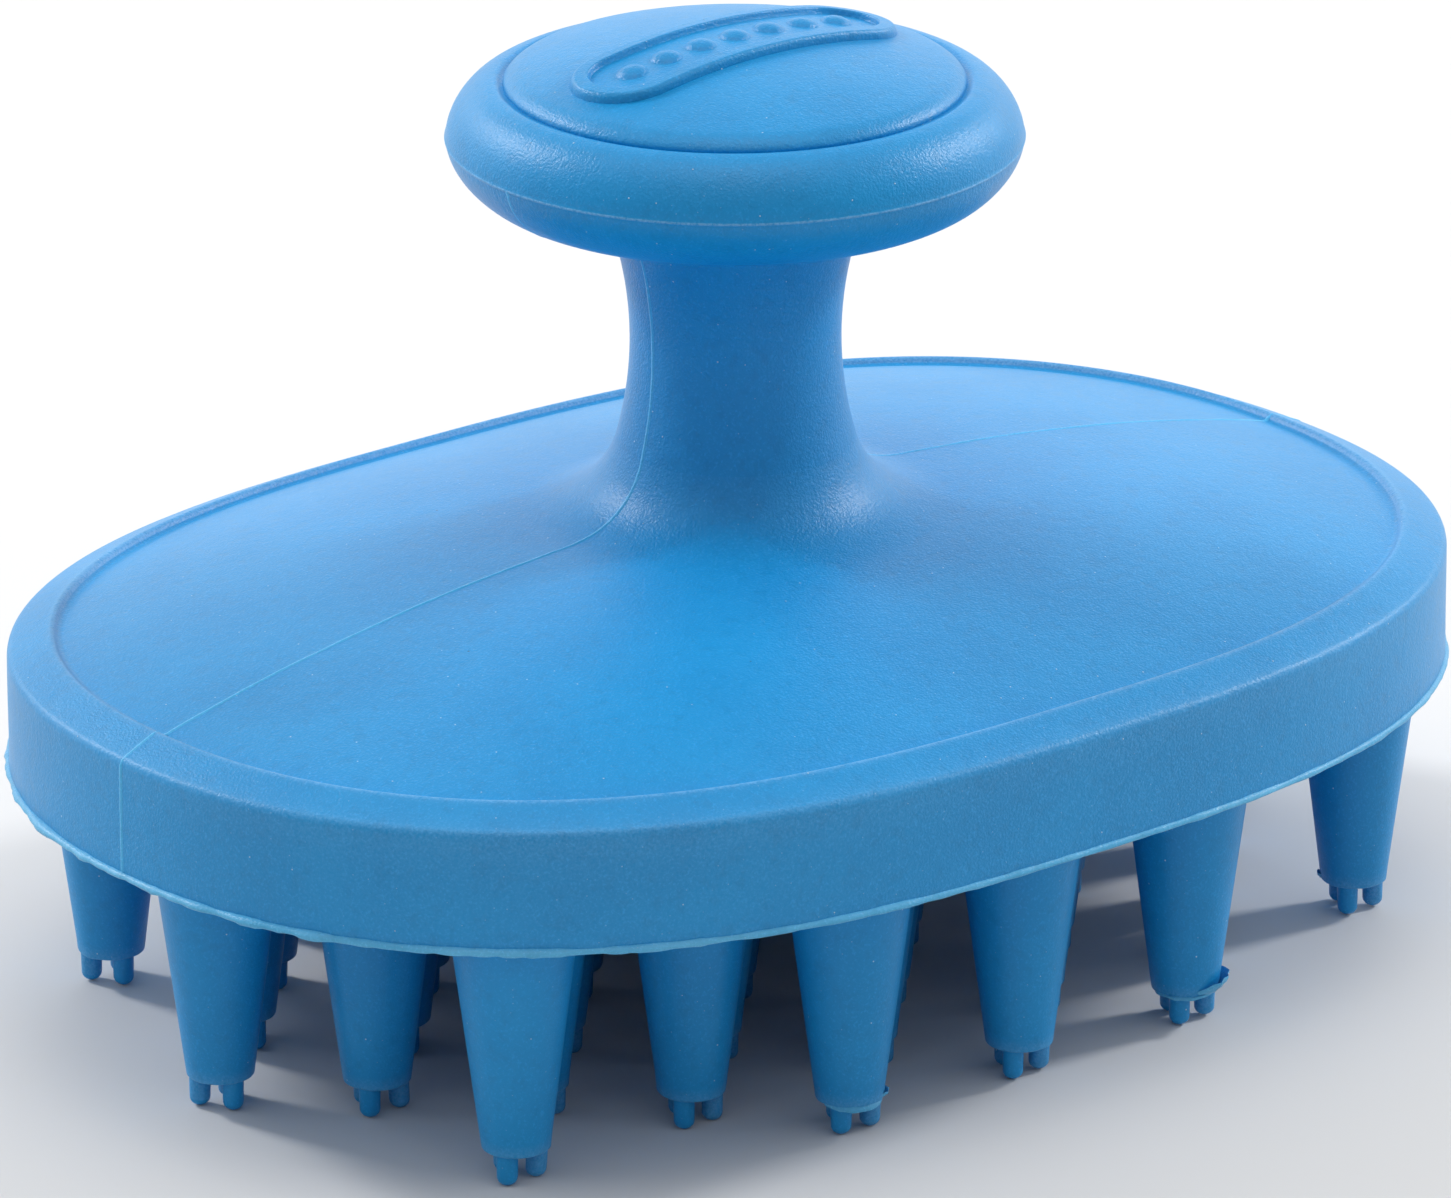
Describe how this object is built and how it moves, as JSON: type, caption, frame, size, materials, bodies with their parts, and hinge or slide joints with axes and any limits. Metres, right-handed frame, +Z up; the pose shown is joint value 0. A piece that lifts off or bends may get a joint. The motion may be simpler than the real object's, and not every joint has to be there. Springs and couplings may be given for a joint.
{
  "type": "scalp massager brush",
  "caption": "Oval silicone scalp massager brush with a mushroom knob handle on a waisted stem and a field of tapered flexible bristles, each ending in soft nubs.",
  "frame": {"origin": "centre of the object's box in plan, on the plane that the bristle nubs stand on", "axes": "+X along the oval's long axis, +Y across it, +Z up through the handle"},
  "size_m": [0.12, 0.086, 0.0761],
  "materials": {
    "base_silicone": "satin moulded silicone",
    "stem_silicone": "satin moulded silicone",
    "knob_silicone": "satin moulded silicone",
    "disc_silicone": "satin moulded silicone",
    "pad_silicone": "satin moulded silicone",
    "bristle_silicone": "satin moulded silicone"
  },
  "bodies": {
    "handle_and_base": {"oval_base": "base_silicone", "handle_stem": "stem_silicone", "handle_knob": "knob_silicone", "knob_top_disc": "disc_silicone", "badge_pad": "pad_silicone"},
    "bristle_r1_c1": {"bristle_r1_c1": "bristle_silicone"},
    "bristle_r1_c2": {"bristle_r1_c2": "bristle_silicone"},
    "bristle_r1_c3": {"bristle_r1_c3": "bristle_silicone"},
    "bristle_r2_c1": {"bristle_r2_c1": "bristle_silicone"},
    "bristle_r2_c2": {"bristle_r2_c2": "bristle_silicone"},
    "bristle_r2_c3": {"bristle_r2_c3": "bristle_silicone"},
    "bristle_r2_c4": {"bristle_r2_c4": "bristle_silicone"},
    "bristle_r2_c5": {"bristle_r2_c5": "bristle_silicone"},
    "bristle_r2_c6": {"bristle_r2_c6": "bristle_silicone"},
    "bristle_r3_c1": {"bristle_r3_c1": "bristle_silicone"},
    "bristle_r3_c2": {"bristle_r3_c2": "bristle_silicone"},
    "bristle_r3_c3": {"bristle_r3_c3": "bristle_silicone"},
    "bristle_r3_c4": {"bristle_r3_c4": "bristle_silicone"},
    "bristle_r3_c5": {"bristle_r3_c5": "bristle_silicone"},
    "bristle_r4_c1": {"bristle_r4_c1": "bristle_silicone"},
    "bristle_r4_c2": {"bristle_r4_c2": "bristle_silicone"},
    "bristle_r4_c3": {"bristle_r4_c3": "bristle_silicone"},
    "bristle_r4_c4": {"bristle_r4_c4": "bristle_silicone"},
    "bristle_r4_c5": {"bristle_r4_c5": "bristle_silicone"},
    "bristle_r4_c6": {"bristle_r4_c6": "bristle_silicone"},
    "bristle_r5_c1": {"bristle_r5_c1": "bristle_silicone"},
    "bristle_r5_c2": {"bristle_r5_c2": "bristle_silicone"},
    "bristle_r5_c3": {"bristle_r5_c3": "bristle_silicone"},
    "bristle_r5_c4": {"bristle_r5_c4": "bristle_silicone"},
    "bristle_r5_c5": {"bristle_r5_c5": "bristle_silicone"},
    "bristle_r5_c6": {"bristle_r5_c6": "bristle_silicone"},
    "bristle_r5_c7": {"bristle_r5_c7": "bristle_silicone"},
    "bristle_r6_c1": {"bristle_r6_c1": "bristle_silicone"},
    "bristle_r6_c2": {"bristle_r6_c2": "bristle_silicone"},
    "bristle_r6_c3": {"bristle_r6_c3": "bristle_silicone"},
    "bristle_r6_c4": {"bristle_r6_c4": "bristle_silicone"},
    "bristle_r6_c5": {"bristle_r6_c5": "bristle_silicone"},
    "bristle_r6_c6": {"bristle_r6_c6": "bristle_silicone"},
    "bristle_r7_c1": {"bristle_r7_c1": "bristle_silicone"},
    "bristle_r7_c2": {"bristle_r7_c2": "bristle_silicone"},
    "bristle_r7_c3": {"bristle_r7_c3": "bristle_silicone"},
    "bristle_r7_c4": {"bristle_r7_c4": "bristle_silicone"},
    "bristle_r7_c5": {"bristle_r7_c5": "bristle_silicone"},
    "bristle_r8_c1": {"bristle_r8_c1": "bristle_silicone"},
    "bristle_r8_c2": {"bristle_r8_c2": "bristle_silicone"},
    "bristle_r8_c3": {"bristle_r8_c3": "bristle_silicone"},
    "bristle_r8_c4": {"bristle_r8_c4": "bristle_silicone"},
    "bristle_r8_c5": {"bristle_r8_c5": "bristle_silicone"},
    "bristle_r8_c6": {"bristle_r8_c6": "bristle_silicone"},
    "bristle_r9_c1": {"bristle_r9_c1": "bristle_silicone"},
    "bristle_r9_c2": {"bristle_r9_c2": "bristle_silicone"},
    "bristle_r9_c3": {"bristle_r9_c3": "bristle_silicone"}
  },
  "joints": [
    {"name": "bend_r1_c1", "type": "hinge", "parent": "handle_and_base", "child": "bristle_r1_c1", "pos_m": [-0.01706, -0.03423, 0.0189], "axis": [0, 1, 0], "range_deg": [-15, 15], "stiffness_Nm_per_rad": 0.067},
    {"name": "bend_r1_c2", "type": "hinge", "parent": "handle_and_base", "child": "bristle_r1_c2", "pos_m": [0, -0.03423, 0.0189], "axis": [0, 1, 0], "range_deg": [-15, 15], "stiffness_Nm_per_rad": 0.067},
    {"name": "bend_r1_c3", "type": "hinge", "parent": "handle_and_base", "child": "bristle_r1_c3", "pos_m": [0.01706, -0.03423, 0.0189], "axis": [0, 1, 0], "range_deg": [-15, 15], "stiffness_Nm_per_rad": 0.067},
    {"name": "bend_r2_c1", "type": "hinge", "parent": "handle_and_base", "child": "bristle_r2_c1", "pos_m": [-0.04265, -0.02567, 0.0189], "axis": [0, 1, 0], "range_deg": [-15, 15], "stiffness_Nm_per_rad": 0.067},
    {"name": "bend_r2_c2", "type": "hinge", "parent": "handle_and_base", "child": "bristle_r2_c2", "pos_m": [-0.02559, -0.02567, 0.0189], "axis": [0, 1, 0], "range_deg": [-15, 15], "stiffness_Nm_per_rad": 0.067},
    {"name": "bend_r2_c3", "type": "hinge", "parent": "handle_and_base", "child": "bristle_r2_c3", "pos_m": [-0.00853, -0.02567, 0.0189], "axis": [0, 1, 0], "range_deg": [-15, 15], "stiffness_Nm_per_rad": 0.067},
    {"name": "bend_r2_c4", "type": "hinge", "parent": "handle_and_base", "child": "bristle_r2_c4", "pos_m": [0.00853, -0.02567, 0.0189], "axis": [0, 1, 0], "range_deg": [-15, 15], "stiffness_Nm_per_rad": 0.067},
    {"name": "bend_r2_c5", "type": "hinge", "parent": "handle_and_base", "child": "bristle_r2_c5", "pos_m": [0.02559, -0.02567, 0.0189], "axis": [0, 1, 0], "range_deg": [-15, 15], "stiffness_Nm_per_rad": 0.067},
    {"name": "bend_r2_c6", "type": "hinge", "parent": "handle_and_base", "child": "bristle_r2_c6", "pos_m": [0.04265, -0.02567, 0.0189], "axis": [0, 1, 0], "range_deg": [-15, 15], "stiffness_Nm_per_rad": 0.067},
    {"name": "bend_r3_c1", "type": "hinge", "parent": "handle_and_base", "child": "bristle_r3_c1", "pos_m": [-0.03412, -0.01711, 0.0189], "axis": [0, 1, 0], "range_deg": [-15, 15], "stiffness_Nm_per_rad": 0.067},
    {"name": "bend_r3_c2", "type": "hinge", "parent": "handle_and_base", "child": "bristle_r3_c2", "pos_m": [-0.01706, -0.01711, 0.0189], "axis": [0, 1, 0], "range_deg": [-15, 15], "stiffness_Nm_per_rad": 0.067},
    {"name": "bend_r3_c3", "type": "hinge", "parent": "handle_and_base", "child": "bristle_r3_c3", "pos_m": [0, -0.01711, 0.0189], "axis": [0, 1, 0], "range_deg": [-15, 15], "stiffness_Nm_per_rad": 0.067},
    {"name": "bend_r3_c4", "type": "hinge", "parent": "handle_and_base", "child": "bristle_r3_c4", "pos_m": [0.01706, -0.01711, 0.0189], "axis": [0, 1, 0], "range_deg": [-15, 15], "stiffness_Nm_per_rad": 0.067},
    {"name": "bend_r3_c5", "type": "hinge", "parent": "handle_and_base", "child": "bristle_r3_c5", "pos_m": [0.03412, -0.01711, 0.0189], "axis": [0, 1, 0], "range_deg": [-15, 15], "stiffness_Nm_per_rad": 0.067},
    {"name": "bend_r4_c1", "type": "hinge", "parent": "handle_and_base", "child": "bristle_r4_c1", "pos_m": [-0.04265, -0.00856, 0.0189], "axis": [0, 1, 0], "range_deg": [-15, 15], "stiffness_Nm_per_rad": 0.067},
    {"name": "bend_r4_c2", "type": "hinge", "parent": "handle_and_base", "child": "bristle_r4_c2", "pos_m": [-0.02559, -0.00856, 0.0189], "axis": [0, 1, 0], "range_deg": [-15, 15], "stiffness_Nm_per_rad": 0.067},
    {"name": "bend_r4_c3", "type": "hinge", "parent": "handle_and_base", "child": "bristle_r4_c3", "pos_m": [-0.00853, -0.00856, 0.0189], "axis": [0, 1, 0], "range_deg": [-15, 15], "stiffness_Nm_per_rad": 0.067},
    {"name": "bend_r4_c4", "type": "hinge", "parent": "handle_and_base", "child": "bristle_r4_c4", "pos_m": [0.00853, -0.00856, 0.0189], "axis": [0, 1, 0], "range_deg": [-15, 15], "stiffness_Nm_per_rad": 0.067},
    {"name": "bend_r4_c5", "type": "hinge", "parent": "handle_and_base", "child": "bristle_r4_c5", "pos_m": [0.02559, -0.00856, 0.0189], "axis": [0, 1, 0], "range_deg": [-15, 15], "stiffness_Nm_per_rad": 0.067},
    {"name": "bend_r4_c6", "type": "hinge", "parent": "handle_and_base", "child": "bristle_r4_c6", "pos_m": [0.04265, -0.00856, 0.0189], "axis": [0, 1, 0], "range_deg": [-15, 15], "stiffness_Nm_per_rad": 0.067},
    {"name": "bend_r5_c1", "type": "hinge", "parent": "handle_and_base", "child": "bristle_r5_c1", "pos_m": [-0.05118, 0, 0.0189], "axis": [0, 1, 0], "range_deg": [-15, 15], "stiffness_Nm_per_rad": 0.067},
    {"name": "bend_r5_c2", "type": "hinge", "parent": "handle_and_base", "child": "bristle_r5_c2", "pos_m": [-0.03412, 0, 0.0189], "axis": [0, 1, 0], "range_deg": [-15, 15], "stiffness_Nm_per_rad": 0.067},
    {"name": "bend_r5_c3", "type": "hinge", "parent": "handle_and_base", "child": "bristle_r5_c3", "pos_m": [-0.01706, 0, 0.0189], "axis": [0, 1, 0], "range_deg": [-15, 15], "stiffness_Nm_per_rad": 0.067},
    {"name": "bend_r5_c4", "type": "hinge", "parent": "handle_and_base", "child": "bristle_r5_c4", "pos_m": [0, 0, 0.0189], "axis": [0, 1, 0], "range_deg": [-15, 15], "stiffness_Nm_per_rad": 0.067},
    {"name": "bend_r5_c5", "type": "hinge", "parent": "handle_and_base", "child": "bristle_r5_c5", "pos_m": [0.01706, 0, 0.0189], "axis": [0, 1, 0], "range_deg": [-15, 15], "stiffness_Nm_per_rad": 0.067},
    {"name": "bend_r5_c6", "type": "hinge", "parent": "handle_and_base", "child": "bristle_r5_c6", "pos_m": [0.03412, 0, 0.0189], "axis": [0, 1, 0], "range_deg": [-15, 15], "stiffness_Nm_per_rad": 0.067},
    {"name": "bend_r5_c7", "type": "hinge", "parent": "handle_and_base", "child": "bristle_r5_c7", "pos_m": [0.05118, 0, 0.0189], "axis": [0, 1, 0], "range_deg": [-15, 15], "stiffness_Nm_per_rad": 0.067},
    {"name": "bend_r6_c1", "type": "hinge", "parent": "handle_and_base", "child": "bristle_r6_c1", "pos_m": [-0.04265, 0.00856, 0.0189], "axis": [0, 1, 0], "range_deg": [-15, 15], "stiffness_Nm_per_rad": 0.067},
    {"name": "bend_r6_c2", "type": "hinge", "parent": "handle_and_base", "child": "bristle_r6_c2", "pos_m": [-0.02559, 0.00856, 0.0189], "axis": [0, 1, 0], "range_deg": [-15, 15], "stiffness_Nm_per_rad": 0.067},
    {"name": "bend_r6_c3", "type": "hinge", "parent": "handle_and_base", "child": "bristle_r6_c3", "pos_m": [-0.00853, 0.00856, 0.0189], "axis": [0, 1, 0], "range_deg": [-15, 15], "stiffness_Nm_per_rad": 0.067},
    {"name": "bend_r6_c4", "type": "hinge", "parent": "handle_and_base", "child": "bristle_r6_c4", "pos_m": [0.00853, 0.00856, 0.0189], "axis": [0, 1, 0], "range_deg": [-15, 15], "stiffness_Nm_per_rad": 0.067},
    {"name": "bend_r6_c5", "type": "hinge", "parent": "handle_and_base", "child": "bristle_r6_c5", "pos_m": [0.02559, 0.00856, 0.0189], "axis": [0, 1, 0], "range_deg": [-15, 15], "stiffness_Nm_per_rad": 0.067},
    {"name": "bend_r6_c6", "type": "hinge", "parent": "handle_and_base", "child": "bristle_r6_c6", "pos_m": [0.04265, 0.00856, 0.0189], "axis": [0, 1, 0], "range_deg": [-15, 15], "stiffness_Nm_per_rad": 0.067},
    {"name": "bend_r7_c1", "type": "hinge", "parent": "handle_and_base", "child": "bristle_r7_c1", "pos_m": [-0.03412, 0.01711, 0.0189], "axis": [0, 1, 0], "range_deg": [-15, 15], "stiffness_Nm_per_rad": 0.067},
    {"name": "bend_r7_c2", "type": "hinge", "parent": "handle_and_base", "child": "bristle_r7_c2", "pos_m": [-0.01706, 0.01711, 0.0189], "axis": [0, 1, 0], "range_deg": [-15, 15], "stiffness_Nm_per_rad": 0.067},
    {"name": "bend_r7_c3", "type": "hinge", "parent": "handle_and_base", "child": "bristle_r7_c3", "pos_m": [0, 0.01711, 0.0189], "axis": [0, 1, 0], "range_deg": [-15, 15], "stiffness_Nm_per_rad": 0.067},
    {"name": "bend_r7_c4", "type": "hinge", "parent": "handle_and_base", "child": "bristle_r7_c4", "pos_m": [0.01706, 0.01711, 0.0189], "axis": [0, 1, 0], "range_deg": [-15, 15], "stiffness_Nm_per_rad": 0.067},
    {"name": "bend_r7_c5", "type": "hinge", "parent": "handle_and_base", "child": "bristle_r7_c5", "pos_m": [0.03412, 0.01711, 0.0189], "axis": [0, 1, 0], "range_deg": [-15, 15], "stiffness_Nm_per_rad": 0.067},
    {"name": "bend_r8_c1", "type": "hinge", "parent": "handle_and_base", "child": "bristle_r8_c1", "pos_m": [-0.04265, 0.02567, 0.0189], "axis": [0, 1, 0], "range_deg": [-15, 15], "stiffness_Nm_per_rad": 0.067},
    {"name": "bend_r8_c2", "type": "hinge", "parent": "handle_and_base", "child": "bristle_r8_c2", "pos_m": [-0.02559, 0.02567, 0.0189], "axis": [0, 1, 0], "range_deg": [-15, 15], "stiffness_Nm_per_rad": 0.067},
    {"name": "bend_r8_c3", "type": "hinge", "parent": "handle_and_base", "child": "bristle_r8_c3", "pos_m": [-0.00853, 0.02567, 0.0189], "axis": [0, 1, 0], "range_deg": [-15, 15], "stiffness_Nm_per_rad": 0.067},
    {"name": "bend_r8_c4", "type": "hinge", "parent": "handle_and_base", "child": "bristle_r8_c4", "pos_m": [0.00853, 0.02567, 0.0189], "axis": [0, 1, 0], "range_deg": [-15, 15], "stiffness_Nm_per_rad": 0.067},
    {"name": "bend_r8_c5", "type": "hinge", "parent": "handle_and_base", "child": "bristle_r8_c5", "pos_m": [0.02559, 0.02567, 0.0189], "axis": [0, 1, 0], "range_deg": [-15, 15], "stiffness_Nm_per_rad": 0.067},
    {"name": "bend_r8_c6", "type": "hinge", "parent": "handle_and_base", "child": "bristle_r8_c6", "pos_m": [0.04265, 0.02567, 0.0189], "axis": [0, 1, 0], "range_deg": [-15, 15], "stiffness_Nm_per_rad": 0.067},
    {"name": "bend_r9_c1", "type": "hinge", "parent": "handle_and_base", "child": "bristle_r9_c1", "pos_m": [-0.01706, 0.03423, 0.0189], "axis": [0, 1, 0], "range_deg": [-15, 15], "stiffness_Nm_per_rad": 0.067},
    {"name": "bend_r9_c2", "type": "hinge", "parent": "handle_and_base", "child": "bristle_r9_c2", "pos_m": [0, 0.03423, 0.0189], "axis": [0, 1, 0], "range_deg": [-15, 15], "stiffness_Nm_per_rad": 0.067},
    {"name": "bend_r9_c3", "type": "hinge", "parent": "handle_and_base", "child": "bristle_r9_c3", "pos_m": [0.01706, 0.03423, 0.0189], "axis": [0, 1, 0], "range_deg": [-15, 15], "stiffness_Nm_per_rad": 0.067}
  ]
}
